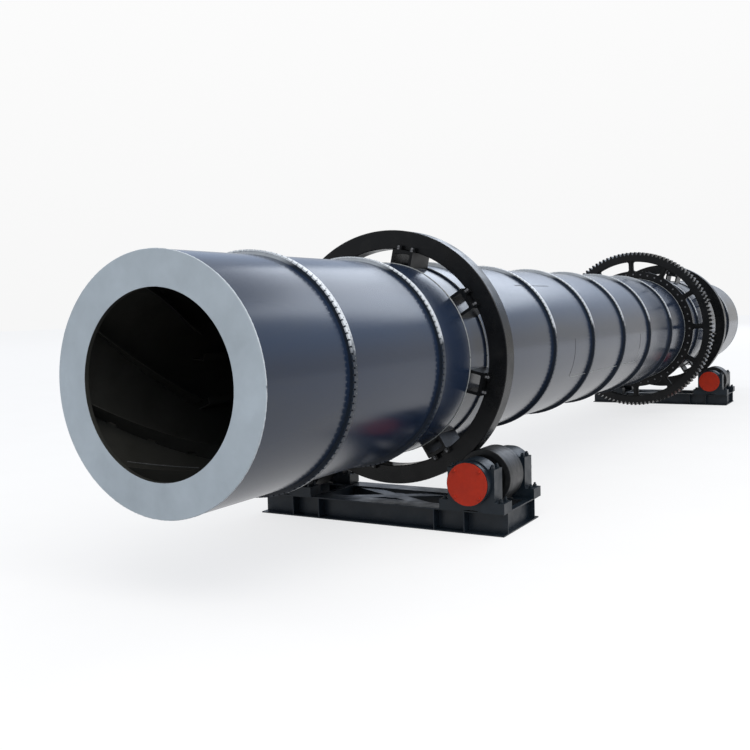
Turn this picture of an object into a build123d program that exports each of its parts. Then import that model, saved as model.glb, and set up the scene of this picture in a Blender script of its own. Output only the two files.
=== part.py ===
from build123d import *
import math
import os

# Rotary dryer drum on two roller bases, in millimetres.
# X runs along the drum from its feed end to its discharge end, Y across it and Z up.
# The origin is on the floor, under the middle of the drum.

# Drum shell: steel courses of one inside radius, thicker where a ring sits on them
drum_length = 22300.0
shell_inner_r = 986.0
shell_wall = 14.0
ring_course_wall = 24.0
course_margin = 150.0
end_plate = 16.0
end_hole_r = 797.0
end_lip_wall = 14.0
end_lip_depth = 30.0

# Lagging jacket: sheet steel held off the shell by rings, under a strap at each joint
lagging_depth = 100.0
jacket_sheet = 4.0
spacer_ring = 8.0
first_band = 1255.0
band_pitch = 1780.0
last_band_from_end = 1740.0
band_width = 64.0
band_height = 12.0

# Riding rings, and the chairs that carry them on the shell
ring_front_centre = 4015.0
ring_spacing = 13900.0
ring_depth = 215.0
ring_width = 220.0
ring_chamfer = 8.0
jacket_gap = 470.0
chair_count = 8
chair_phase = 13.0
chair_height = 255.0
chair_width = 260.0
chair_end_gap = 15.0
chair_saddle = 34.0
chair_pad = 40.0
chair_cheek = 34.0
chair_corner_r = 16.0
stop_length = 58.0
stop_width = 70.0
stop_reach = 46.0
stop_play = 1.0

# Girth gear: toothed rim, spokes and a bolting ring on the shell's flange
gear_from_ring = 2725.0
gear_module = 28.0
dedendum_share = 1.25
gear_face = 220.0
gear_rim = 132.0
pressure_angle = 20.0
flank_steps = 2
spoke_count = 12
spoke_phase = -2.0
spoke_length = 230.0
spoke_width = 104.0
spoke_rib = 32.0
spoke_rib_depth = 150.0
gear_web = 50.0
flange_rise = 245.0
bolting_ring_depth = 130.0
window_edge = 14.0
window_corner_r = 40.0
shell_flange = 32.0
jacket_to_gear = 12.0
gear_bolt_count = 48
gear_bolt_r = 13.0
gear_bolt_inset = 60.0

# Lifting flights along the inside of the shell
lifter_count = 12
lifter_height = 150.0
lifter_plate = 10.0
lifter_tip = 70.0
lifter_phase = 7.0
lifter_end_gap = 260.0
lifter_seat = 0.1

# Rollers under the rings
roller_r = 312.0
roller_width = 400.0
roller_rim = 62.0
roller_hub_r = 158.0
roller_recess = 46.0
roller_chamfer = 6.0
contact_angle = 43.0
rolling_gap = 0.3

# Roller shafts
journal_r = 80.0
shaft_seat_r = 100.0
journal_clearance = 0.05
shoulder_gap = 6.0
shaft_end_gap = 18.0

# Bearing housings
housing_length = 220.0
housing_overhang = 30.0
bearing_height = 316.0
housing_arch_r = 255.0
housing_half_width = 272.0
shoulder_height = 154.0
foot_height = 115.0
foot_length = 760.0
foot_relief_width = 262.0
foot_relief_height = 20.0
cover_boss_r = 240.0
cover_boss_depth = 92.0
cover_r = 231.0
cover_plate = 14.0
inner_boss_r = 150.0
inner_boss_depth = 28.0

# Bases: two cross beams each, closed by end channels and braced in the middle
foot_overhang = 19.346
base_depth = 1064.0
beam_height = 250.0
beam_flange_width = 250.0
beam_flange = 14.0
beam_web = 9.0
channel_flange_width = 78.0
channel_web = 10.0
stiffener_inner = 755.0
stiffener_outer = 1120.0
stiffener_plate = 12.0
brace_width = 150.0
brace_plate = 14.0
brace_hub_r = 140.0
brace_drop = 2.0
anchor_r = 16.5
anchor_inset_x = 45.0
anchor_inset_y = 95.0

# Worked-out radii
shell_outer_r = shell_inner_r + shell_wall
course_outer_r = shell_inner_r + ring_course_wall
jacket_outer_r = shell_outer_r + lagging_depth
jacket_inner_r = jacket_outer_r - jacket_sheet
ring_inner_r = course_outer_r + chair_height
ring_outer_r = ring_inner_r + ring_depth
bolting_ring_outer_r = course_outer_r + flange_rise
gear_bolt_circle_r = bolting_ring_outer_r - gear_bolt_inset
gear_dedendum = dedendum_share * gear_module
gear_pitch_wanted = bolting_ring_outer_r + spoke_length + gear_rim + gear_dedendum
gear_teeth = 2 * round(gear_pitch_wanted / gear_module)
gear_pitch_r = gear_module * gear_teeth / 2
gear_tip_r = gear_pitch_r + gear_module
gear_root_r = gear_pitch_r - gear_dedendum
gear_base_r = gear_pitch_r * math.cos(math.radians(pressure_angle))
gear_rim_inner_r = gear_root_r - gear_rim
bolting_ring_inner_r = bolting_ring_outer_r - bolting_ring_depth

# Worked-out heights and places
roller_distance = ring_outer_r + roller_r + rolling_gap
roller_y = roller_distance * math.sin(math.radians(contact_angle))
roller_height = beam_height + bearing_height
base_width = 2 * (roller_y + foot_length / 2 - foot_overhang)
axis_height = roller_height + roller_distance * math.cos(math.radians(contact_angle))
ring_rear_centre = ring_front_centre + ring_spacing
gear_centre = ring_rear_centre - gear_from_ring
ring_centres = {"front": ring_front_centre, "rear": ring_rear_centre}
sides = {"left": 1, "right": -1}


def station(distance):
    """X of a point at a distance along the drum from its feed end."""
    return distance - drum_length / 2


def drum_plane(distance):
    """Plane across the drum's axis, with its local x along Y and its local y up."""
    return Plane(origin=(station(distance), 0, axis_height), x_dir=(0, 1, 0), z_dir=(1, 0, 0))


def annulus(start, length, outer_r, inner_r):
    """Adds a plain ring about the drum's axis to the part being built."""
    with BuildSketch(drum_plane(start)) as section:
        Circle(outer_r)
        Circle(inner_r, mode=Mode.SUBTRACT)
    extrude(section.sketch, amount=length)


# Where the jacket's sections and the shell's courses begin and end
flange_start = gear_centre
gear_web_start = gear_centre - gear_web
gap_ends = {
    "front": (ring_front_centre - jacket_gap / 2, ring_front_centre + jacket_gap / 2),
    "gear": (gear_web_start - jacket_to_gear, flange_start + shell_flange + jacket_to_gear),
    "rear": (ring_rear_centre - jacket_gap / 2, ring_rear_centre + jacket_gap / 2),
}
jacket_spans = {
    "jacket_feed": (end_plate, gap_ends["front"][0]),
    "jacket_middle": (gap_ends["front"][1], gap_ends["gear"][0]),
    "jacket_gear": (gap_ends["gear"][1], gap_ends["rear"][0]),
    "jacket_discharge": (gap_ends["rear"][1], drum_length - end_plate),
}
thick_courses = {
    "shell_course_ring_front": (gap_ends["front"][0] - course_margin, gap_ends["front"][1] + course_margin),
    "shell_course_gear": (gap_ends["gear"][0] - course_margin, gap_ends["gear"][1] + course_margin),
    "shell_course_ring_rear": (gap_ends["rear"][0] - course_margin, gap_ends["rear"][1] + course_margin),
}
thin_courses = {
    "shell_course_feed": (end_plate, thick_courses["shell_course_ring_front"][0]),
    "shell_course_middle": (thick_courses["shell_course_ring_front"][1], thick_courses["shell_course_gear"][0]),
    "shell_course_drive": (thick_courses["shell_course_gear"][1], thick_courses["shell_course_ring_rear"][0]),
    "shell_course_discharge": (thick_courses["shell_course_ring_rear"][1], drum_length - end_plate),
}

# Straps lie over the jacket's joints, and none where a ring or the gear breaks the jacket
band_stations = []
for index in range(math.ceil(drum_length / band_pitch)):
    middle = first_band + index * band_pitch
    in_section = any(
        start + band_width < middle < end - band_width for start, end in jacket_spans.values()
    )
    if in_section and middle < gap_ends["gear"][0]:
        band_stations.append(middle)
band_stations.append((gap_ends["gear"][1] + gap_ends["rear"][0]) / 2)
band_stations.append(drum_length - last_band_from_end)

os.makedirs("parts", exist_ok=True)

# Shell courses, end to end
for name, (start, end) in thin_courses.items():
    with BuildPart() as course:
        annulus(start, end - start, shell_outer_r, shell_inner_r)
    course.part.label = name
    export_step(course.part, f"parts/{name}.step")

for name, (start, end) in thick_courses.items():
    with BuildPart() as course:
        annulus(start, end - start, course_outer_r, shell_inner_r)
    course.part.label = name
    export_step(course.part, f"parts/{name}.step")

# End plates: a flat ring over shell and jacket, with a lip round the hole
for name, start, lip_start in (
    ("end_plate_feed", 0.0, end_plate),
    ("end_plate_discharge", drum_length - end_plate, drum_length - end_plate - end_lip_depth),
):
    with BuildPart() as plate:
        annulus(start, end_plate, jacket_outer_r, end_hole_r)
        annulus(lip_start, end_lip_depth, end_hole_r + end_lip_wall, end_hole_r)
    plate.part.label = name
    export_step(plate.part, f"parts/{name}.step")

# Jacket sheets
for name, (start, end) in jacket_spans.items():
    with BuildPart() as jacket:
        annulus(start, end - start, jacket_outer_r, jacket_inner_r)
    jacket.part.label = name
    export_step(jacket.part, f"parts/{name}.step")

# Rings that close the jacket beside each gap
with BuildPart() as jacket_end_rings:
    for left_end, right_start in gap_ends.values():
        annulus(left_end - spacer_ring, spacer_ring, jacket_inner_r, course_outer_r)
        annulus(right_start, spacer_ring, jacket_inner_r, course_outer_r)
jacket_end_rings.part.label = "jacket_end_rings"
export_step(jacket_end_rings.part, "parts/jacket_end_rings.step")

# Rings that hold the jacket off the shell under each strap
with BuildPart() as jacket_spacer_rings:
    for middle in band_stations:
        annulus(middle - spacer_ring / 2, spacer_ring, jacket_inner_r, shell_outer_r)
jacket_spacer_rings.part.label = "jacket_spacer_rings"
export_step(jacket_spacer_rings.part, "parts/jacket_spacer_rings.step")

# Straps over the jacket's joints
with BuildPart() as jacket_straps:
    for middle in band_stations:
        annulus(middle - band_width / 2, band_width, jacket_outer_r + band_height, jacket_outer_r)
jacket_straps.part.label = "jacket_straps"
export_step(jacket_straps.part, "parts/jacket_straps.step")

# Riding rings
for end, centre in ring_centres.items():
    with BuildPart() as riding_ring:
        annulus(centre - ring_width / 2, ring_width, ring_outer_r, ring_inner_r)
        rims = riding_ring.edges().filter_by(GeomType.CIRCLE)
        chamfer(rims, ring_chamfer)
    riding_ring.part.label = f"riding_ring_{end}"
    export_step(riding_ring.part, f"parts/riding_ring_{end}.step")


def chair_sketch():
    """Chair section: saddle on the shell, two cheeks and a pad under the ring."""
    middle_r = (course_outer_r + ring_inner_r) / 2
    window_height = chair_height - chair_saddle - chair_pad
    window_r = course_outer_r + chair_saddle + window_height / 2
    with BuildSketch(mode=Mode.PRIVATE) as outline:
        with PolarLocations(middle_r, chair_count, start_angle=chair_phase):
            Rectangle(2 * chair_height, chair_width)
    with BuildSketch(mode=Mode.PRIVATE) as windows:
        with PolarLocations(window_r, chair_count, start_angle=chair_phase):
            RectangleRounded(window_height, chair_width - 2 * chair_cheek, chair_corner_r)
    Circle(ring_inner_r)
    Circle(course_outer_r, mode=Mode.SUBTRACT)
    add(outline.sketch, mode=Mode.INTERSECT)
    add(windows.sketch, mode=Mode.SUBTRACT)


# Chairs: open brackets welded on the shell, with stops on both sides of the ring
for end, centre in ring_centres.items():
    with BuildPart() as chairs:
        chair_length = jacket_gap - 2 * chair_end_gap
        with BuildSketch(drum_plane(centre - chair_length / 2)):
            chair_sketch()
        extrude(amount=chair_length)
        for stop_start in (
            centre - ring_width / 2 - stop_play - stop_length,
            centre + ring_width / 2 + stop_play,
        ):
            with BuildSketch(drum_plane(stop_start)):
                with PolarLocations(ring_inner_r + stop_reach / 2 - chair_pad / 2, chair_count, chair_phase):
                    with Locations((0, chair_width / 3), (0, -chair_width / 3)):
                        Rectangle(stop_reach + chair_pad, stop_width)
            extrude(amount=stop_length)
    chairs.part.label = f"ring_chairs_{end}"
    export_step(chairs.part, f"parts/ring_chairs_{end}.step")

# Flange on the shell that the gear bolts to
with BuildPart() as gear_flange:
    annulus(flange_start, shell_flange, bolting_ring_outer_r, course_outer_r)
    with BuildSketch(drum_plane(flange_start)):
        with PolarLocations(gear_bolt_circle_r, gear_bolt_count):
            Circle(gear_bolt_r)
    extrude(amount=shell_flange, mode=Mode.SUBTRACT)
gear_flange.part.label = "gear_flange"
export_step(gear_flange.part, "parts/gear_flange.step")


def involute_angle(radius):
    """Angle turned by an involute of the gear's base circle out to a radius."""
    reach = max(radius, gear_base_r)
    return math.sqrt((reach / gear_base_r) ** 2 - 1) - math.acos(gear_base_r / reach)


def tooth_points():
    """Outline of all teeth, as points from root to tip and back on each tooth."""
    points = []
    half_at_pitch = math.pi / (2 * gear_teeth) + involute_angle(gear_pitch_r)
    radii = [
        gear_root_r + (gear_tip_r - gear_root_r) * step / flank_steps for step in range(flank_steps + 1)
    ]
    for tooth in range(gear_teeth):
        centre_angle = 2 * math.pi * tooth / gear_teeth
        flank = [(radius, half_at_pitch - involute_angle(radius)) for radius in radii]
        for radius, half in flank:
            points.append((radius * math.cos(centre_angle - half), radius * math.sin(centre_angle - half)))
        for radius, half in reversed(flank):
            points.append((radius * math.cos(centre_angle + half), radius * math.sin(centre_angle + half)))
    return points


# Girth gear
with BuildPart() as girth_gear:
    with BuildSketch(drum_plane(gear_centre - gear_face / 2)):
        with BuildLine():
            Polyline(tooth_points(), close=True)
        make_face()
        Circle(gear_rim_inner_r, mode=Mode.SUBTRACT)
    extrude(amount=gear_face)
    annulus(gear_web_start, gear_web, gear_rim_inner_r, bolting_ring_inner_r)
    with BuildSketch(drum_plane(gear_web_start)) as gear_windows:
        Circle(gear_rim_inner_r - window_edge)
        Circle(bolting_ring_outer_r + window_edge, mode=Mode.SUBTRACT)
        with PolarLocations((gear_rim_inner_r + bolting_ring_outer_r) / 2, spoke_count, start_angle=spoke_phase):
            Rectangle(2 * (gear_rim_inner_r - bolting_ring_outer_r), spoke_width, mode=Mode.SUBTRACT)
        fillet(gear_windows.vertices(), window_corner_r)
    extrude(amount=gear_web, mode=Mode.SUBTRACT)
    with BuildSketch(drum_plane(gear_centre - spoke_rib_depth / 2)):
        rib_length = gear_rim_inner_r - bolting_ring_outer_r
        with PolarLocations(bolting_ring_outer_r + rib_length / 2, spoke_count, start_angle=spoke_phase):
            Rectangle(rib_length, spoke_rib)
    extrude(amount=spoke_rib_depth)
    with BuildSketch(drum_plane(gear_web_start)):
        with PolarLocations(gear_bolt_circle_r, gear_bolt_count):
            Circle(gear_bolt_r)
    extrude(amount=gear_web, mode=Mode.SUBTRACT)
girth_gear.part.label = "girth_gear"
export_step(girth_gear.part, "parts/girth_gear.step")

# Lifting flights: bent plates along the inside of the shell
with BuildPart() as lifting_flights:
    with BuildSketch(drum_plane(lifter_end_gap)):
        with PolarLocations(0, lifter_count, start_angle=lifter_phase):
            with Locations((shell_inner_r - lifter_seat - lifter_height / 2, 0)):
                Rectangle(lifter_height, lifter_plate)
            with Locations((shell_inner_r - lifter_seat - lifter_height + lifter_plate / 2, lifter_tip / 2)):
                Rectangle(lifter_plate, lifter_tip)
    extrude(amount=drum_length - 2 * lifter_end_gap)
lifting_flights.part.label = "lifting_flights"
export_step(lifting_flights.part, "parts/lifting_flights.step")


def roller_plane(centre, side, offset):
    """Plane across a roller's axis, at an offset along X from its ring's centre."""
    origin = (station(centre) + offset, side * roller_y, roller_height)
    return Plane(origin=origin, x_dir=(0, 1, 0), z_dir=(1, 0, 0))


# Rollers: a rim, a recessed web and a hub, pressed on the shaft
for end, centre in ring_centres.items():
    for side_name, side in sides.items():
        with BuildPart() as roller:
            with BuildSketch(roller_plane(centre, side, -roller_width / 2)):
                Circle(roller_r)
            extrude(amount=roller_width)
            chamfer(roller.edges(), roller_chamfer)
            for recess_start in (-roller_width / 2, roller_width / 2 - roller_recess):
                with BuildSketch(roller_plane(centre, side, recess_start)):
                    Circle(roller_r - roller_rim)
                    Circle(roller_hub_r, mode=Mode.SUBTRACT)
                extrude(amount=roller_recess, mode=Mode.SUBTRACT)
            with BuildSketch(roller_plane(centre, side, -roller_width / 2)):
                Circle(shaft_seat_r)
            extrude(amount=roller_width, mode=Mode.SUBTRACT)
        roller.part.label = f"roller_{end}_{side_name}"
        export_step(roller.part, f"parts/roller_{end}_{side_name}.step")

# Shafts: a thick seat in the roller and a journal in each housing
housing_outer_face = base_depth / 2 + housing_overhang
housing_inner_face = housing_outer_face - housing_length
journal_end = housing_outer_face + cover_boss_depth - shaft_end_gap
seat_end = housing_inner_face - inner_boss_depth - shoulder_gap
for end, centre in ring_centres.items():
    for side_name, side in sides.items():
        with BuildPart() as shaft:
            with BuildSketch(roller_plane(centre, side, -journal_end)):
                Circle(journal_r)
            extrude(amount=2 * journal_end)
            with BuildSketch(roller_plane(centre, side, -seat_end)):
                Circle(shaft_seat_r)
            extrude(amount=2 * seat_end)
        shaft.part.label = f"roller_shaft_{end}_{side_name}"
        export_step(shaft.part, f"parts/roller_shaft_{end}_{side_name}.step")


def housing_outline():
    """Whole housing seen along its shaft: foot, side columns and round top."""
    Circle(housing_arch_r)
    with Locations((0, (shoulder_height + foot_height - bearing_height) / 2)):
        Rectangle(2 * housing_half_width, shoulder_height - foot_height + bearing_height)
    with Locations((0, foot_height / 2 - bearing_height)):
        Rectangle(foot_length, foot_height)
    relief_sagitta_r = (foot_relief_width**2 / 4 + foot_relief_height**2) / (2 * foot_relief_height)
    with Locations((0, foot_relief_height - relief_sagitta_r - bearing_height)):
        Circle(relief_sagitta_r, mode=Mode.SUBTRACT)
    Circle(journal_r + journal_clearance, mode=Mode.SUBTRACT)


def half_plane_sketch(top):
    """Large rectangle above or below the shaft's axis, which splits a housing."""
    reach = foot_length
    with Locations((0, reach / 2 if top else -reach / 2)):
        Rectangle(2 * reach, reach, mode=Mode.INTERSECT)


def housing_half(centre, side, facing, top):
    """Adds the upper or lower half of one housing, with its bosses."""
    with BuildSketch(roller_plane(centre, side, facing * housing_inner_face)) as body:
        housing_outline()
        half_plane_sketch(top)
    extrude(body.sketch, amount=facing * housing_length)
    with BuildSketch(roller_plane(centre, side, facing * housing_outer_face)) as cover_boss:
        Circle(cover_boss_r)
        Circle(journal_r + journal_clearance, mode=Mode.SUBTRACT)
        half_plane_sketch(top)
    extrude(cover_boss.sketch, amount=facing * cover_boss_depth)
    with BuildSketch(roller_plane(centre, side, facing * housing_inner_face)) as inner_boss:
        Circle(inner_boss_r)
        Circle(journal_r + journal_clearance, mode=Mode.SUBTRACT)
        half_plane_sketch(top)
    extrude(inner_boss.sketch, amount=-facing * inner_boss_depth)


# Bearing housings in halves, and their round covers, four to a base
for end, centre in ring_centres.items():
    for name, top in (("bearing_seats", False), ("bearing_caps", True)):
        with BuildPart() as halves:
            for side in sides.values():
                for facing in (-1, 1):
                    housing_half(centre, side, facing, top)
        halves.part.label = f"{name}_{end}"
        export_step(halves.part, f"parts/{name}_{end}.step")

    with BuildPart() as covers:
        for side in sides.values():
            for facing in (-1, 1):
                cover_start = facing * (housing_outer_face + cover_boss_depth)
                with BuildSketch(roller_plane(centre, side, cover_start)):
                    Circle(cover_r)
                extrude(amount=facing * cover_plate)
    covers.part.label = f"bearing_covers_{end}"
    export_step(covers.part, f"parts/bearing_covers_{end}.step")

# Bases: stiffened cross beams
web_offset = base_depth / 2 - beam_flange_width / 2
clear_height = beam_height - 2 * beam_flange
for end, centre in ring_centres.items():
    with BuildPart() as beams:
        for facing in (-1, 1):
            web_x = station(centre) + facing * web_offset
            with BuildSketch(Plane.XZ):
                with Locations((web_x, beam_flange / 2), (web_x, beam_height - beam_flange / 2)):
                    Rectangle(beam_flange_width, beam_flange)
                with Locations((web_x, beam_height / 2)):
                    Rectangle(beam_web, clear_height)
            extrude(amount=base_width / 2, both=True)
            for place in (-stiffener_outer, -stiffener_inner, stiffener_inner, stiffener_outer):
                with Locations((web_x, place, beam_height / 2)):
                    Box(beam_flange_width, stiffener_plate, clear_height)
        anchor_x = base_depth / 2 - anchor_inset_x
        anchor_y = base_width / 2 - anchor_inset_y
        with Locations((station(centre), 0, beam_flange / 2)):
            with GridLocations(2 * anchor_x, 2 * anchor_y, 2, 2):
                Cylinder(anchor_r, beam_flange, mode=Mode.SUBTRACT)
    beams.part.label = f"base_beams_{end}"
    export_step(beams.part, f"parts/base_beams_{end}.step")

    # End channels and inner cross channels between the beams
    with BuildPart() as channels:
        for side in sides.values():
            for web_inner_face in (base_width / 2 - channel_flange_width, stiffener_inner + stiffener_plate / 2):
                web_y = side * (web_inner_face + channel_web / 2)
                flange_y = side * (web_inner_face + channel_flange_width / 2)
                with BuildSketch(Plane.YZ.offset(station(centre))):
                    with Locations((web_y, beam_height / 2)):
                        Rectangle(channel_web, clear_height)
                extrude(amount=web_offset - beam_web / 2, both=True)
                with BuildSketch(Plane.YZ.offset(station(centre))):
                    with Locations((flange_y, beam_flange / 2), (flange_y, beam_height - beam_flange / 2)):
                        Rectangle(channel_flange_width, beam_flange)
                extrude(amount=base_depth / 2 - beam_flange_width, both=True)
    channels.part.label = f"base_channels_{end}"
    export_step(channels.part, f"parts/base_channels_{end}.step")

    # Cross brace: two crossed flats with a round gusset where they meet
    brace_top = beam_height - beam_flange - brace_drop
    brace_half_x = web_offset - beam_web / 2
    brace_half_y = stiffener_inner - stiffener_plate / 2
    with BuildPart() as brace:
        with BuildSketch(Plane.XY.offset(brace_top - brace_plate)):
            with Locations((station(centre), 0)):
                Circle(brace_hub_r)
                run = math.hypot(brace_half_x, brace_half_y) * 2
                slope = math.degrees(math.atan2(brace_half_y, brace_half_x))
                for turn in (slope, -slope):
                    Rectangle(2 * run, brace_width, rotation=turn)
                Rectangle(2 * brace_half_x, 2 * brace_half_y, mode=Mode.INTERSECT)
        extrude(amount=brace_plate)
    brace.part.label = f"base_brace_{end}"
    export_step(brace.part, f"parts/base_brace_{end}.step")
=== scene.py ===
import math
import random

import bpy
from mathutils import Matrix, Vector


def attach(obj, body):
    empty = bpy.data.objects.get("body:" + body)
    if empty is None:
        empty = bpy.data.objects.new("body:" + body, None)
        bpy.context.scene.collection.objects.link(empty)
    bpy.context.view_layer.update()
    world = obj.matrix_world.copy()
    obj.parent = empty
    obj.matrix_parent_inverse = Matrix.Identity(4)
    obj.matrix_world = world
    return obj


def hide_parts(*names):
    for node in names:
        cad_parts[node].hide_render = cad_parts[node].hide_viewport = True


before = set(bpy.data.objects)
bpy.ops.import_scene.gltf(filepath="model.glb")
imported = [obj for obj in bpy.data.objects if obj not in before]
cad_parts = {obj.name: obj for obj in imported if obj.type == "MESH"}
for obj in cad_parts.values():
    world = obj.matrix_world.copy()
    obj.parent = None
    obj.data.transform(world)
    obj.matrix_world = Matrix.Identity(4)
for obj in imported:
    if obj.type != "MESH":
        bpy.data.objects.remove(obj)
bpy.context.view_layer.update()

# Sizes of the drum, in metres from its feed end and from its axis
drum_length = 22.3
axis_height = 1.8768
shell_inner_r = 0.986
course_r = 1.01
seat_r = 1.082
jacket_r = 1.1
jacket_gap = 0.47
jacket_sections = ((0.016, 3.78), (4.25, 15.128), (15.234, 17.68), (18.15, 22.284))
ring_centres = {"front": 4.015, "rear": 17.915}
ring_inner_r = 1.265
ring_width = 0.22
chair_length = 0.44
chair_width = 0.26
chair_count = 8
chair_phase = 13.0
strap_width = 0.07
strap_r = 1.145
strap_side_r = 1.132
strap_stations = (1.255, 3.035, 4.815, 6.595, 8.375, 10.155, 11.935, 13.715, 16.457, 20.56)
gear_web = (15.14, 15.19)
gear_flange = (15.19, 15.222)
gear_bolt_circle_r = 1.195
gear_bolt_count = 48

# Sizes of the rollers, housings and bases, in metres
roller_y = 1.22235
roller_height = 0.566
housing_face = 0.562
housing_length = 0.22
housing_half_width = 0.272
shoulder_height = 0.154
foot_height = 0.115
foot_half_length = 0.38
cover_face = 0.668
cover_bolt_circle_r = 0.2
base_height = 0.25
base_half_depth = 0.532

# Small pieces reach this far into what they stand on
sink = 0.001


def row_x(distance):
    """X of a point at a distance along the drum from its feed end."""
    return distance - drum_length / 2


# Mesh tools
class Heap:
    """Points and faces of one mesh, gathered shape by shape."""

    def __init__(self):
        self.verts = []
        self.faces = []

    def add(self, verts, faces, place=None):
        start = len(self.verts)
        if place is None:
            self.verts.extend(tuple(v) for v in verts)
        else:
            self.verts.extend(tuple(place @ Vector(v)) for v in verts)
        self.faces.extend(tuple(start + index for index in face) for face in faces)


def add_piece(name, heap, material, body, smooth_angle=None):
    """Makes a mesh object from a heap, and ties it to a body."""
    mesh = bpy.data.meshes.new(name)
    mesh.from_pydata(heap.verts, [], heap.faces)
    mesh.validate()
    mesh.update()
    if smooth_angle is not None:
        mesh.shade_smooth()
        mesh.set_sharp_from_angle(angle=math.radians(smooth_angle))
    piece = bpy.data.objects.new(name, mesh)
    bpy.context.scene.collection.objects.link(piece)
    mesh.materials.append(material)
    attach(piece, body)
    return piece


def skin(rows, sides, closed=False):
    """Outward faces over rows of points with as many sides each, capped at the ends unless closed."""
    faces = []
    for row in range(rows if closed else rows - 1):
        here, there = row * sides, (row + 1) % rows * sides
        for side in range(sides):
            around = (side + 1) % sides
            faces.append((here + side, here + around, there + around, there + side))
    if not closed:
        faces.append(tuple(reversed(range(sides))))
        faces.append(tuple((rows - 1) * sides + side for side in range(sides)))
    return faces


def lathe(profile, count):
    """Solid turned about Z from a profile of (radius, height), flat at both ends."""
    verts = []
    for radius, height in profile:
        for step in range(count):
            turn = 2 * math.pi * step / count
            verts.append((radius * math.cos(turn), radius * math.sin(turn), height))
    return verts, skin(len(profile), count)


def hex_bolt(across, head, washer_r, washer, shank_r=0.0, shank=0.0):
    """Hexagon head on a washer, with the end of the screw above it where it has one."""
    heap = Heap()
    heap.add(*lathe([(washer_r, 0.0), (washer_r, washer)], 16))
    corner = across / math.sqrt(3)
    bevel = 0.12 * corner
    top = washer + head
    heap.add(*lathe([(corner, washer), (corner, top - bevel), (corner - bevel, top)], 6))
    if shank > 0:
        end = top + shank
        chamfer = 0.002
        heap.add(*lathe([(shank_r, top), (shank_r, end - chamfer), (shank_r - chamfer, end)], 10))
    return heap.verts, heap.faces


def toward(point, direction, turn=0.0):
    """Placement at a point with local Z along a direction."""
    rotation = Vector(direction).to_track_quat("Z", "Y").to_matrix().to_4x4()
    return Matrix.Translation(Vector(point)) @ rotation @ Matrix.Rotation(turn, 4, "Z")


def on_drum(distance, radius, angle):
    """Point at a place along the drum, a radius from its axis and an angle in degrees from +Y."""
    turn = math.radians(angle)
    return (row_x(distance), radius * math.cos(turn), axis_height + radius * math.sin(turn))


def radial(angle):
    """Direction out from the drum's axis at an angle in degrees from +Y."""
    turn = math.radians(angle)
    return (0.0, math.cos(turn), math.sin(turn))


def drum_ring(heap, start, end, inner_r, outer_r, first=0.0, last=360.0, step=3.0):
    """Ring, or part of one, about the drum's axis, in degrees from +Y."""
    count = max(2, round((last - first) / step))
    whole = abs(last - first - 360.0) < 1e-6
    rows = count if whole else count + 1
    section = ((start, inner_r), (end, inner_r), (end, outer_r), (start, outer_r))
    verts = []
    for index in range(rows):
        angle = first + (last - first) * index / count
        verts.extend(on_drum(distance, radius, angle) for distance, radius in section)
    heap.add(verts, skin(rows, len(section), whole))


def flight(heap, start, end, inner_r, outer_r, angle, width, twist=0.0, steps=24):
    """Plate between two radii that runs along the drum and turns by twist degrees a metre."""
    section = ((outer_r, -1), (outer_r, 1), (inner_r, 1), (inner_r, -1))
    verts = []
    for step in range(steps + 1):
        distance = start + (end - start) * step / steps
        here = angle + twist * distance
        for radius, side in section:
            verts.append(on_drum(distance, radius, here + side * math.degrees(width / 2 / radius)))
    heap.add(verts, skin(steps + 1, len(section)))


def bead(heap, points, radius, closed, dice):
    """Weld bead: a thin tube along points, uneven in thickness."""
    sides = 6
    ripple = 0.25
    count = len(points)
    verts = []
    for index in range(count):
        before = Vector(points[(index - 1) % count] if closed else points[max(index - 1, 0)])
        after = Vector(points[(index + 1) % count] if closed else points[min(index + 1, count - 1)])
        place = toward(points[index], after - before)
        size = radius * (1 + ripple * (dice.random() - 0.5) * 2)
        for side in range(sides):
            turn = 2 * math.pi * side / sides
            verts.append(tuple(place @ Vector((size * math.cos(turn), size * math.sin(turn), 0))))
    heap.add(verts, skin(count, sides, closed))


def round_bead(heap, distance, radius, thickness, dice, count=240):
    """Weld bead right round the drum."""
    points = [on_drum(distance, radius, 360.0 * step / count) for step in range(count)]
    bead(heap, points, thickness, True, dice)


def path_on_drum(corners, counts, radius):
    """Points round a closed path through corners of (distance, angle), with a count for each leg."""
    points = []
    for index, count in enumerate(counts):
        start, end = corners[index], corners[(index + 1) % len(corners)]
        for step in range(count):
            points.append(on_drum(start[0] + (end[0] - start[0]) * step / count, radius,
                                  start[1] + (end[1] - start[1]) * step / count))
    return points


# Material tools
def new_material(name):
    material = bpy.data.materials.new(name)
    material.use_nodes = True
    tree = material.node_tree
    shader = tree.nodes["Principled BSDF"]
    return material, tree, shader


def coordinates(tree, stretch=(1.0, 1.0, 1.0)):
    """The object's own coordinates in metres, scaled by axis."""
    source = tree.nodes.new("ShaderNodeTexCoord")
    mapping = tree.nodes.new("ShaderNodeMapping")
    mapping.inputs["Scale"].default_value = stretch
    tree.links.new(source.outputs["Object"], mapping.inputs["Vector"])
    return mapping.outputs["Vector"]


def axes_of(tree, vector):
    """The X, Y and Z of a vector."""
    split = tree.nodes.new("ShaderNodeSeparateXYZ")
    tree.links.new(vector, split.inputs["Vector"])
    return split.outputs


def noise(tree, scale, detail=3.0, rough=0.5, stretch=(1.0, 1.0, 1.0), distortion=0.0):
    node = tree.nodes.new("ShaderNodeTexNoise")
    node.inputs["Scale"].default_value = scale
    node.inputs["Detail"].default_value = detail
    node.inputs["Roughness"].default_value = rough
    node.inputs["Distortion"].default_value = distortion
    tree.links.new(coordinates(tree, stretch), node.inputs["Vector"])
    return node.outputs["Fac"]


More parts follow.
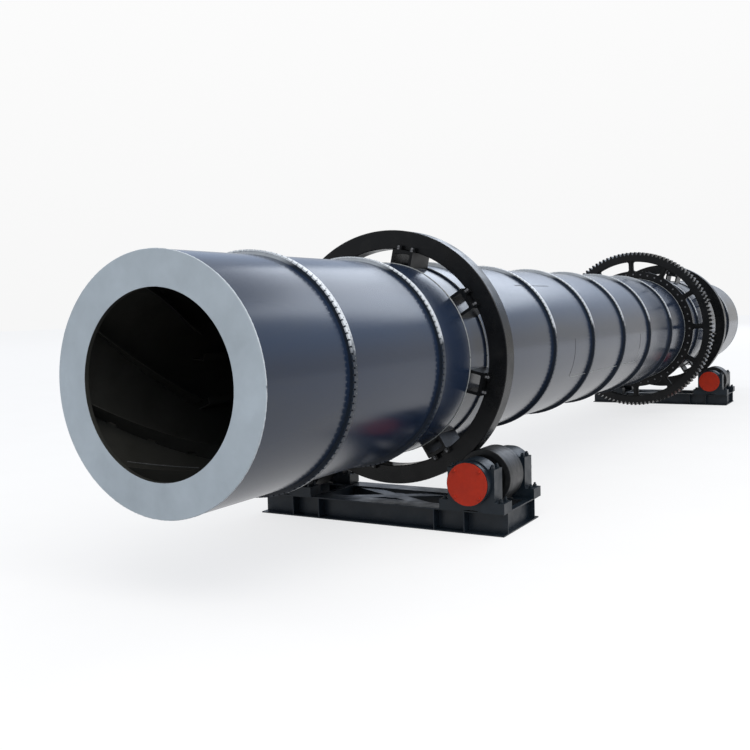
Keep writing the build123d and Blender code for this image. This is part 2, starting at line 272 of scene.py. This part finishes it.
def remap(tree, value, low, high, to_low=0.0, to_high=1.0):
    node = tree.nodes.new("ShaderNodeMapRange")
    tree.links.new(value, node.inputs["Value"])
    node.inputs["From Min"].default_value = low
    node.inputs["From Max"].default_value = high
    node.inputs["To Min"].default_value = to_low
    node.inputs["To Max"].default_value = to_high
    return node.outputs["Result"]


def spread(tree, cloud, low=0.0, high=1.0):
    """A noise, stretched so that its usual values fill a range."""
    return remap(tree, cloud, 0.3, 0.7, low, high)


def maths(tree, operation, first, second=None):
    node = tree.nodes.new("ShaderNodeMath")
    node.operation = operation
    for index, value in enumerate((first, second)):
        if value is None:
            continue
        if isinstance(value, float):
            node.inputs[index].default_value = value
        else:
            tree.links.new(value, node.inputs[index])
    return node.outputs[0]


def blend_colours(tree, factor, first, second):
    """Mix of two colours, each a tuple or a socket."""
    node = tree.nodes.new("ShaderNodeMix")
    node.data_type = "RGBA"
    tree.links.new(factor, node.inputs["Factor"])
    for socket, colour in ((node.inputs[6], first), (node.inputs[7], second)):
        if isinstance(colour, tuple):
            socket.default_value = (*colour, 1.0)
        else:
            tree.links.new(colour, socket)
    return node.outputs[2]


def add_bump(tree, shader, height, distance, strength=1.0, under=None):
    node = tree.nodes.new("ShaderNodeBump")
    node.inputs["Strength"].default_value = strength
    node.inputs["Distance"].default_value = distance
    tree.links.new(height, node.inputs["Height"])
    if under is not None:
        tree.links.new(under, node.inputs["Normal"])
    tree.links.new(node.outputs["Normal"], shader.inputs["Normal"])
    return node.outputs["Normal"]


def height_over_axis(tree):
    return maths(tree, "SUBTRACT", axes_of(tree, coordinates(tree))["Z"], axis_height)


def axis_distance(tree):
    across = maths(tree, "POWER", axes_of(tree, coordinates(tree))["Y"], 2.0)
    upward = maths(tree, "POWER", height_over_axis(tree), 2.0)
    return maths(tree, "SQRT", maths(tree, "ADD", across, upward))


def scaled(colour, share):
    return tuple(share * channel for channel in colour)


def cloudy(tree, colour, scale, streak=(1.0, 1.0, 1.0), patch_colour=None, patch_limits=(0.5, 0.75)):
    """Paint colour that varies in soft clouds, with patches of a second colour where it has one."""
    cloud = noise(tree, scale, detail=5.0, rough=0.6, stretch=streak)
    base = blend_colours(tree, spread(tree, cloud), colour, scaled(colour, 0.8))
    if patch_colour is not None:
        patches = noise(tree, scale * 2.7, detail=7.0, rough=0.65, stretch=streak, distortion=0.4)
        base = blend_colours(tree, remap(tree, patches, *patch_limits), base, patch_colour)
    return base


def painted(name, colour, rough_range, patch_colour=None, patch_limits=(0.5, 0.75), patch_scale=1.5,
            specular=0.5, waviness=0.0, streak=(1.0, 1.0, 1.0)):
    """Painted steel: cloudy colour, uneven gloss, slight waves of the sheet and a fine paint skin."""
    material, tree, shader = new_material(name)
    tree.links.new(cloudy(tree, colour, patch_scale, streak, patch_colour, patch_limits),
                   shader.inputs["Base Color"])
    gloss = noise(tree, patch_scale * 1.6, detail=4.0, rough=0.55, stretch=streak)
    tree.links.new(spread(tree, gloss, *rough_range), shader.inputs["Roughness"])
    shader.inputs["Specular IOR Level"].default_value = specular
    normal = None
    if waviness > 0:
        waves = noise(tree, 0.9, detail=1.0, rough=0.3, stretch=streak)
        normal = add_bump(tree, shader, waves, distance=waviness)
    skin_grain = noise(tree, 160.0, detail=2.0)
    add_bump(tree, shader, skin_grain, distance=0.0003, strength=0.4, under=normal)
    return material


def split_by(name, choose, outer, inner, rough_range, specular):
    """Paint of two colours, with a factor from the point's place that chooses between them."""
    material, tree, shader = new_material(name)
    first = cloudy(tree, inner, 2.2, patch_colour=scaled(inner, 0.7))
    second = cloudy(tree, outer, 2.2, patch_colour=scaled(outer, 0.9))
    tree.links.new(blend_colours(tree, choose(tree), first, second), shader.inputs["Base Color"])
    gloss = noise(tree, 3.0, detail=4.0)
    tree.links.new(spread(tree, gloss, *rough_range), shader.inputs["Roughness"])
    shader.inputs["Specular IOR Level"].default_value = specular
    add_bump(tree, shader, noise(tree, 120.0, detail=2.0), distance=0.0003, strength=0.4)
    return material


def on_shell_outside(tree):
    """One outside the middle of the shell's plate, zero inside it."""
    return remap(tree, axis_distance(tree), 0.995, 0.999)


def on_plate_face(tree):
    """One on the end plate's face and rim, which are painted pale as painted sunlight, zero in its hole
    and on the lip behind it.
    """
    plate_end = drum_length / 2
    from_middle = maths(tree, "ABSOLUTE", axes_of(tree, coordinates(tree))["X"])
    face = remap(tree, from_middle, plate_end - 0.004, plate_end - 0.002)
    rim = remap(tree, axis_distance(tree), 1.0, 1.02)
    return maths(tree, "MAXIMUM", face, rim)


def sunlit_strap_top(tree):
    """One on the upper part of a strap, where the tabs are painted pale as painted sunlight, zero
    below, where they are painted dark as painted shade, with an uneven change between them.
    """
    unevenness = maths(tree, "MULTIPLY", noise(tree, 9.0), 0.35)
    return remap(tree, maths(tree, "ADD", height_over_axis(tree), unevenness), 0.38, 0.5)


def highlighted_strap_crest(tree):
    """One at the crest of a strap's sides, where a pale painted highlight goes, zero below."""
    return remap(tree, height_over_axis(tree), 0.97, 1.04)


def worn_roller():
    """Black paint, with the tread rubbed to dull steel where the ring runs."""
    material, tree, shader = new_material("worn_roller")
    geometry = tree.nodes.new("ShaderNodeNewGeometry")
    along = axes_of(tree, geometry.outputs["Position"])["X"]
    scratches = noise(tree, 60.0, detail=6.0, rough=0.6, stretch=(1.0, 0.2, 0.2))
    paint = cloudy(tree, (0.01, 0.011, 0.012), 6.0, patch_colour=(0.02, 0.02, 0.02))
    steel = blend_colours(tree, scratches, (0.07, 0.07, 0.07), (0.03, 0.03, 0.032))
    ring_edge = ring_width / 2
    treads = []
    for centre in ring_centres.values():
        reach = maths(tree, "ABSOLUTE", maths(tree, "SUBTRACT", along, row_x(centre)))
        treads.append(remap(tree, reach, ring_edge - 0.006, ring_edge + 0.008, 1.0, 0.0))
    worn = maths(tree, "MAXIMUM", *treads)
    tree.links.new(blend_colours(tree, worn, paint, steel), shader.inputs["Base Color"])
    tree.links.new(remap(tree, worn, 0.0, 1.0, 0.0, 0.5), shader.inputs["Metallic"])
    tree.links.new(spread(tree, scratches, 0.3, 0.5), shader.inputs["Roughness"])
    shader.inputs["Specular IOR Level"].default_value = 0.3
    add_bump(tree, shader, scratches, distance=0.0004, strength=0.6)
    return material


def turned_steel():
    """Bare steel with fine marks of turning round it."""
    material, tree, shader = new_material("turned_steel")
    marks = noise(tree, 90.0, stretch=(1.0, 0.1, 0.1))
    steel = blend_colours(tree, marks, (0.16, 0.16, 0.17), (0.08, 0.08, 0.085))
    tree.links.new(steel, shader.inputs["Base Color"])
    shader.inputs["Metallic"].default_value = 0.9
    tree.links.new(spread(tree, marks, 0.3, 0.45), shader.inputs["Roughness"])
    add_bump(tree, shader, marks, distance=0.0003, strength=0.5)
    return material


# Materials
jacket_colour = (0.015, 0.027, 0.056)
primer_colour = (0.03, 0.03, 0.026)
# Pale colour of the end plate's face: painted sunlight
sunlit_plate_colour = (0.47, 0.53, 0.57)
jacket_paint = painted("jacket_paint", jacket_colour, (0.17, 0.26), (0.02, 0.028, 0.045),
                       patch_scale=0.5, specular=0.36, waviness=0.003, streak=(0.3, 1.2, 1.2))
black_gloss = painted("black_gloss", (0.004, 0.0044, 0.005), (0.2, 0.42), (0.01, 0.01, 0.01),
                      patch_scale=2.2, specular=0.2, waviness=0.001)
base_paint = painted("base_paint", (0.007, 0.013, 0.02), (0.3, 0.5), (0.012, 0.018, 0.026),
                     patch_scale=3.5, specular=0.3)
cover_paint = painted("cover_paint", (0.5, 0.028, 0.007), (0.34, 0.5), (0.4, 0.02, 0.006),
                      patch_scale=9.0, specular=0.3)
bolt_steel = painted("bolt_steel", (0.2, 0.2, 0.21), (0.3, 0.5), (0.05, 0.05, 0.05),
                     patch_limits=(0.45, 0.62), patch_scale=30.0)
weld_metal = painted("weld_metal", (0.16, 0.165, 0.17), (0.35, 0.6), (0.06, 0.06, 0.06),
                     patch_limits=(0.45, 0.65), patch_scale=40.0)
# Pale colour of the end plates' rim welds: painted sunlight, like the plate's face
sunlit_plate_weld = painted("sunlit_plate_weld", (0.62, 0.67, 0.7), (0.4, 0.6), (0.4, 0.44, 0.47),
                     patch_scale=12.0)
seam_line = painted("seam_line", (0.01, 0.012, 0.016), (0.4, 0.55), patch_scale=6.0, specular=0.3)
# Pale colour of the raised jacket edges and of some lap edges: a painted highlight
seam_edge_highlight = painted("seam_edge_highlight", (0.3, 0.31, 0.3), (0.35, 0.5), patch_scale=6.0)
shell_primer = split_by("shell_primer", on_shell_outside, outer=jacket_colour,
                        inner=primer_colour, rough_range=(0.4, 0.7), specular=0.4)
end_plate_sunlit_paint = split_by("end_plate_sunlit_paint", on_plate_face, outer=sunlit_plate_colour,
                           inner=primer_colour, rough_range=(0.42, 0.58), specular=0.4)
# Strap tabs: pale on their upper part as painted sunlight, dark below as painted shade
strap_tab_sunlit_paint = split_by("strap_tab_sunlit_paint", sunlit_strap_top, outer=(0.72, 0.75, 0.77),
                           inner=(0.018, 0.028, 0.045), rough_range=(0.25, 0.4), specular=0.4)
# Strap rings and sides: pale at the crest near the top as a painted highlight, dark below
strap_side_highlight_paint = split_by("strap_side_highlight_paint", highlighted_strap_crest, outer=(0.5, 0.53, 0.55),
                            inner=(0.012, 0.018, 0.028), rough_range=(0.3, 0.45), specular=0.3)

# Materials of the solids, by the start of their names: the first that fits is taken
finishes = {
    "shell_course": shell_primer,
    "end_plate": end_plate_sunlit_paint,
    "jacket_end_rings": jacket_paint,
    "jacket_straps": strap_side_highlight_paint,
    "jacket_spacer_rings": shell_primer,
    "jacket": jacket_paint,
    "riding_ring": black_gloss,
    "ring_chairs": black_gloss,
    "gear_flange": black_gloss,
    "girth_gear": black_gloss,
    "lifting_flights": shell_primer,
    "bearing_covers": cover_paint,
    "bearing": base_paint,
    "base": base_paint,
    "roller_shaft": turned_steel(),
    "roller": worn_roller(),
}
for node_name, node_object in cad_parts.items():
    for prefix, material in finishes.items():
        if node_name.startswith(prefix):
            node_object.data.materials.clear()
            node_object.data.materials.append(material)
            break

dice = random.Random(7)

# Straps over the jacket's joints: a raised ring under two rows of short tabs, with a screw to each pair
tab_count = 116
tab_pitch = 360.0 / tab_count
near_tab_gap = math.degrees(0.016 / strap_r)
far_tab_gap = 0.12 * near_tab_gap
far_tab_drop = 0.002
tab_root_r = strap_side_r - 0.002
row_meeting = -0.004
ring_inset = 0.003
uneven_lift = 0.0015
screw_offset = 0.012
screw_base_r = strap_r - 0.0045
straps = Heap()
tabs = Heap()
strap_screws = Heap()
screw = lathe([(0.006, 0.0), (0.006, 0.0024), (0.0035, 0.0045)], 6)
for middle in strap_stations:
    near, far = middle - strap_width / 2, middle + strap_width / 2
    meeting = middle + row_meeting
    drum_ring(straps, near + ring_inset, far - ring_inset, jacket_r - sink, strap_side_r,
              step=tab_pitch)
    for index in range(tab_count):
        angle = index * tab_pitch
        tab_r = strap_r + dice.uniform(-uneven_lift, 0.0)
        drum_ring(tabs, near, meeting, tab_root_r, tab_r,
                  angle, angle + tab_pitch - near_tab_gap, tab_pitch / 2)
        drum_ring(tabs, meeting, far, tab_root_r, tab_r - far_tab_drop,
                  angle, angle + tab_pitch - far_tab_gap, tab_pitch / 2)
        screw_angle = angle + tab_pitch / 2
        spot = on_drum(middle + screw_offset, screw_base_r, screw_angle)
        strap_screws.add(*screw, toward(spot, radial(screw_angle)))
strap_piece = add_piece("jacket_strap_rings", straps, strap_side_highlight_paint, "drum", 30)
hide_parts("jacket_straps")
add_piece("jacket_strap_tabs", tabs, strap_tab_sunlit_paint, "drum")
add_piece("strap_screws", strap_screws, bolt_steel, "drum", 40)

# Raised edges of the jacket beside each gap, in pale paint that is a painted highlight
edge_radius = 0.007
edge_inset = 0.004
end_margin = 0.1
jacket_edges = Heap()
for start, end in jacket_sections:
    for distance, inward in ((start, 1), (end, -1)):
        if end_margin < distance < drum_length - end_margin:
            round_bead(jacket_edges, distance + inward * edge_inset, jacket_r, edge_radius, dice, 300)
add_piece("jacket_edges", jacket_edges, seam_edge_highlight, "drum", 60)

# Thick seats of the shell under the riding rings
seat_reach = jacket_gap / 2 + 0.001
seat_clearance = 0.0005
seats = Heap()
for centre in ring_centres.values():
    drum_ring(seats, centre - seat_reach, centre + seat_reach, course_r + seat_clearance, seat_r,
              step=2.0)
add_piece("ring_seats", seats, jacket_paint, "drum", 30)

# Lap joints of the jacket's sheets: dark open edges, and pale ones in paint that is a painted highlight
lap_top_r = jacket_r + 0.0016
along_half_turn = math.degrees(0.006 / jacket_r)
round_half_width = 0.007
laps = Heap()
highlighted_laps = Heap()
along_laps = (
    (laps, 129.8, 6.17, 7.51),
    (laps, 318.0, 1.3, 3.0),
    (laps, 36.0, 8.41, 11.9),
    (laps, 20.0, 18.2, 20.5),
    (laps, 300.0, 13.75, 15.1),
    (highlighted_laps, 206.0, 7.6, 11.3),
    (highlighted_laps, 336.0, 4.85, 8.34),
)
round_laps = (
    (laps, 7.53, 176.0, 205.0),
    (laps, 11.31, 179.0, 193.0),
    (laps, 9.3, 20.0, 70.0),
    (laps, 2.2, 300.0, 350.0),
    (highlighted_laps, 11.31, 193.0, 206.0),
)
for heap, angle, start, end in along_laps:
    drum_ring(heap, start, end, jacket_r - sink, lap_top_r,
              angle - along_half_turn, angle + along_half_turn, 1.0)
for heap, middle, first, last in round_laps:
    drum_ring(heap, middle - round_half_width, middle + round_half_width, jacket_r - sink, lap_top_r,
              first, last)
add_piece("jacket_laps", laps, seam_line, "drum", 30)
add_piece("jacket_lap_edges", highlighted_laps, seam_edge_highlight, "drum", 30)

# Weld round the rim of each end plate, painted pale as painted sunlight, like the plate's face
rim_weld_inset = 0.0078
rim_weld_r = jacket_r - 0.0005
rim_weld_radius = 0.0055
rim_welds = Heap()
for distance in (rim_weld_inset, drum_length - rim_weld_inset):
    round_bead(rim_welds, distance, rim_weld_r, rim_weld_radius, dice, 360)
add_piece("end_plate_welds", rim_welds, sunlit_plate_weld, "drum", 60)

# Twisted guide flights behind the feed opening, each on four feet
flight_seat_r = shell_inner_r - 0.0005
flight_plate = 0.01
guide_count = 8
guide_phase = -9.6
guide_twist = -36.5
guide_inner_r = 0.826
guide_foot_r = 0.955
guide_start, guide_end = 0.06, 1.5
foot_count = 4
foot_pitch = 0.365
foot_length = 0.29
guides = Heap()
for index in range(guide_count):
    angle = guide_phase + 360.0 * index / guide_count
    flight(guides, guide_start, guide_end, guide_inner_r, guide_foot_r, angle, flight_plate,
           guide_twist, 48)
    for foot in range(foot_count):
        foot_start = guide_start + foot_pitch * foot
        flight(guides, foot_start, foot_start + foot_length, guide_foot_r - sink, flight_seat_r,
               angle, flight_plate, guide_twist, 10)
add_piece("guide_flights", guides, shell_primer, "drum", 30)

# Straight lifting flights with a bent tip
lifter_count = 12
lifter_phase = 7.0
lifter_start, lifter_end = 1.6, drum_length - 0.26
lifter_inner_r = 0.836
tip_r = 0.841
tip_width = 0.07
tip_half_plate = 0.0045
lifters = Heap()
for index in range(lifter_count):
    angle = lifter_phase + 360.0 * index / lifter_count
    tip_angle = angle + math.degrees(tip_width / 2 / tip_r)
    flight(lifters, lifter_start, lifter_end, lifter_inner_r, flight_seat_r, angle, flight_plate)
    flight(lifters, lifter_start, lifter_end, tip_r - tip_half_plate, tip_r + tip_half_plate,
           tip_angle, tip_width)
lifter_piece = add_piece("lifter_plates", lifters, shell_primer, "drum", 30)
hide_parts("lifting_flights")

# Welds inside the shell: round between its courses, and along them
inner_weld_radius = 0.005
inner_weld_step = 0.05
course_joints = (3.63, 4.4, 9.7, 14.978, 15.384, 17.53, 18.3)
long_joints = ((0.34, 1.04, -46.3, -61.5), (3.7, 22.0, 222.0, 222.0))
inner_welds = Heap()
for station in course_joints:
    round_bead(inner_welds, station, shell_inner_r, inner_weld_radius, dice)
for start, end, first, last in long_joints:
    count = max(30, round((end - start) / inner_weld_step))
    points = [on_drum(start + (end - start) * step / count, shell_inner_r - sink,
                      first + (last - first) * step / count) for step in range(count + 1)]
    bead(inner_welds, points, inner_weld_radius, False, dice)
add_piece("shell_seam_welds", inner_welds, weld_metal, "drum", 60)

# Welds round the chairs on their seats
chair_half_turn = math.degrees(chair_width / 2 / seat_r)
chair_angles = [chair_phase + index * 360.0 / chair_count for index in range(chair_count)]
chair_weld_radius = 0.007
chair_weld_counts = (12, 20, 12, 20)
chair_welds = Heap()
for centre in ring_centres.values():
    left, right = centre - chair_length / 2, centre + chair_length / 2
    for angle in chair_angles:
        low, high = angle - chair_half_turn, angle + chair_half_turn
        corners = ((left, low), (left, high), (right, high), (right, low))
        points = path_on_drum(corners, chair_weld_counts, seat_r)
        bead(chair_welds, points, chair_weld_radius, True, dice)
add_piece("chair_welds", chair_welds, black_gloss, "drum", 60)

# Welds of the gear's flange on the shell
flange_weld_radius = 0.01
flange_welds = Heap()
for distance in (gear_flange[1], gear_flange[0] - sink):
    round_bead(flange_welds, distance, course_r, flange_weld_radius, dice)
add_piece("flange_welds", flange_welds, black_gloss, "drum", 60)

# Bolts that hold the gear to its flange
gear_head = hex_bolt(across=0.028, head=0.012, washer_r=0.018, washer=0.003)
gear_nut = hex_bolt(across=0.028, head=0.016, washer_r=0.018, washer=0.003,
                    shank_r=0.009, shank=0.012)
gear_bolts = Heap()
for index in range(gear_bolt_count):
    angle = index * 360.0 / gear_bolt_count
    for bolt, distance, facing in ((gear_head, gear_web[0], -1), (gear_nut, gear_flange[1], 1)):
        spot = on_drum(distance, gear_bolt_circle_r, angle)
        gear_bolts.add(*bolt, toward(spot, (facing, 0, 0)))
add_piece("gear_bolts", gear_bolts, bolt_steel, "drum", 35)

# Screws of the chairs' stops: four on each side of the ring
stop_face = ring_width / 2 + 0.059
stop_screw_turn = 3.9
stop_screw_rises = (0.004, 0.03)
stop_screw = hex_bolt(across=0.024, head=0.01, washer_r=0.016, washer=0.003)
stop_screws = Heap()
for centre in ring_centres.values():
    for angle in chair_angles:
        for facing in (-1, 1):
            for side in (-1, 1):
                for rise in stop_screw_rises:
                    spot = on_drum(centre + facing * stop_face, ring_inner_r + rise,
                                   angle + side * stop_screw_turn)
                    stop_screws.add(*stop_screw, toward(spot, (facing, 0, 0)))
add_piece("chair_bolts", stop_screws, bolt_steel, "drum", 35)

# Screws of the bearing covers, and each housing's four cap bolts and four foot bolts
cover_screw = hex_bolt(across=0.027, head=0.012, washer_r=0.018, washer=0.003)
cap_bolt = hex_bolt(across=0.046, head=0.024, washer_r=0.034, washer=0.005,
                    shank_r=0.015, shank=0.018)
foot_bolt = hex_bolt(across=0.04, head=0.02, washer_r=0.03, washer=0.005,
                     shank_r=0.013, shank=0.02)
cap_bolt_along = 0.062
cap_bolt_across = housing_half_width - 0.04
foot_bolt_along = 0.065
foot_bolt_across = foot_half_length - 0.054
shoulder_top = roller_height + shoulder_height
foot_top = base_height + foot_height
cover_screws = Heap()
housing_bolts = Heap()
for centre in ring_centres.values():
    for side in (-1, 1):
        housing_y = side * roller_y
        for facing in (-1, 1):
            cover_x = row_x(centre) + facing * cover_face
            for index in range(4):
                turn = math.radians(45 + 90 * index)
                spot = (cover_x, housing_y + cover_bolt_circle_r * math.cos(turn),
                        roller_height + cover_bolt_circle_r * math.sin(turn))
                cover_screws.add(*cover_screw, toward(spot, (facing, 0, 0)))
            middle_x = row_x(centre) + facing * (housing_face - housing_length / 2)
            for across in (-1, 1):
                for along in (-1, 1):
                    spot = (middle_x + along * cap_bolt_along,
                            housing_y + across * cap_bolt_across, shoulder_top)
                    housing_bolts.add(*cap_bolt, toward(spot, (0, 0, 1), dice.uniform(0, 1)))
                    spot = (middle_x + along * foot_bolt_along,
                            housing_y + across * foot_bolt_across, foot_top)
                    housing_bolts.add(*foot_bolt, toward(spot, (0, 0, 1), dice.uniform(0, 1)))
add_piece("cover_screws", cover_screws, cover_paint, "bases", 35)
add_piece("housing_bolts", housing_bolts, base_paint, "bases", 35)

# Welds of the stiffeners on the webs of the bases' beams
beam_inset = 0.125
web_half = 0.0045
stiffener_places = (-1.12, -0.755, 0.755, 1.12)
stiffener_half = 0.006
weld_start, weld_rise = 0.07 * base_height, 0.86 * base_height
weld_steps = 20
base_weld_radius = 0.005
base_welds = Heap()
for centre in ring_centres.values():
    for facing in (-1, 1):
        web = row_x(centre) + facing * (base_half_depth - beam_inset)
        for place in stiffener_places:
            for edge in (-1, 1):
                points = [(web + edge * web_half, place + stiffener_half,
                           weld_start + weld_rise * step / weld_steps)
                          for step in range(weld_steps + 1)]
                bead(base_welds, points, base_weld_radius, False, dice)
add_piece("base_welds", base_welds, base_paint, "bases", 60)

# Floor: nearly white to the camera and in reflections, and grey to the light that falls on it
floor_reach = 150.0
floor_corners = [(x * floor_reach, y * floor_reach, 0) for x, y in ((-1, -1), (1, -1), (1, 1), (-1, 1))]
floor_mesh = bpy.data.meshes.new("floor")
floor_mesh.from_pydata(floor_corners, [], [(0, 1, 2, 3)])
floor = bpy.data.objects.new("floor", floor_mesh)
bpy.context.scene.collection.objects.link(floor)
floor_paint, floor_tree, floor_shader = new_material("floor")
floor_shader.inputs["Roughness"].default_value = 0.9
floor_shader.inputs["Specular IOR Level"].default_value = 0.0
rays = floor_tree.nodes.new("ShaderNodeLightPath").outputs
seen = maths(floor_tree, "MAXIMUM", rays["Is Camera Ray"], rays["Is Glossy Ray"])
seen = maths(floor_tree, "MAXIMUM", seen, rays["Is Transmission Ray"])
mottle = spread(floor_tree, noise(floor_tree, 0.8, detail=4.0))
shown = blend_colours(floor_tree, mottle, (0.3, 0.3, 0.3), (0.29, 0.29, 0.29))
floor_tree.links.new(blend_colours(floor_tree, seen, (0.35, 0.35, 0.35), shown),
                     floor_shader.inputs["Base Color"])
floor_shader.inputs["Emission Color"].default_value = (1.0, 1.0, 1.0, 1.0)
floor_tree.links.new(maths(floor_tree, "MULTIPLY", seen, 0.7), floor_shader.inputs["Emission Strength"])
floor_mesh.materials.append(floor_paint)

# World: a pale dome, a little cooler part of the way up, behind a nearly white backdrop
world = bpy.data.worlds.new("studio")
bpy.context.scene.world = world
world.use_nodes = True
sky = world.node_tree
background = sky.nodes["Background"]
rise = axes_of(sky, sky.nodes.new("ShaderNodeTexCoord").outputs["Generated"])["Z"]
dome = blend_colours(sky, remap(sky, rise, 0.1, 0.3), (0.74, 0.73, 0.7), (0.66, 0.78, 1.0))
dome = blend_colours(sky, remap(sky, rise, 0.42, 0.75), dome, (0.72, 0.72, 0.72))
backdrop = blend_colours(sky, remap(sky, rise, 0.0, 0.3), (0.93, 0.93, 0.93), (0.97, 0.97, 0.97))
sky_rays = sky.nodes.new("ShaderNodeLightPath").outputs
sky.links.new(blend_colours(sky, sky_rays["Is Camera Ray"], dome, backdrop),
              background.inputs["Color"])
background.inputs["Strength"].default_value = 1.0

# Lamps: a large soft light high on the camera's side and a wide one beyond the far end
lamp_aim = Vector((0, 0, 1.5))
for name, place, width, depth, power, colour in (
    ("softbox", (-15.0, -12.0, 14.0), 24.0, 9.0, 2100.0, (1.0, 0.97, 0.92)),
    ("far_softbox", (70.0, 0.0, 42.0), 60.0, 26.0, 13000.0, (0.86, 0.92, 1.0)),
):
    lamp = bpy.data.lights.new(name, "AREA")
    lamp.shape = "RECTANGLE"
    lamp.size = width
    lamp.size_y = depth
    lamp.energy = power
    lamp.color = colour
    holder = bpy.data.objects.new(name, lamp)
    holder.location = place
    holder.rotation_euler = (lamp_aim - Vector(place)).to_track_quat("-Z", "Y").to_euler()
    bpy.context.scene.collection.objects.link(holder)

# Camera
lens = bpy.data.cameras.new("camera")
lens.sensor_fit = "HORIZONTAL"
lens.sensor_width = 36.0
lens.lens = 45.08
lens.clip_end = 500.0
camera = bpy.data.objects.new("camera", lens)
camera.location = (-16.8417, -5.2894, 2.4430)
camera.rotation_euler = tuple(math.radians(angle) for angle in (86.0254, 1.4327, -60.4109))
bpy.context.scene.collection.objects.link(camera)
bpy.context.scene.camera = camera
bpy.context.scene.view_settings.view_transform = "Standard"
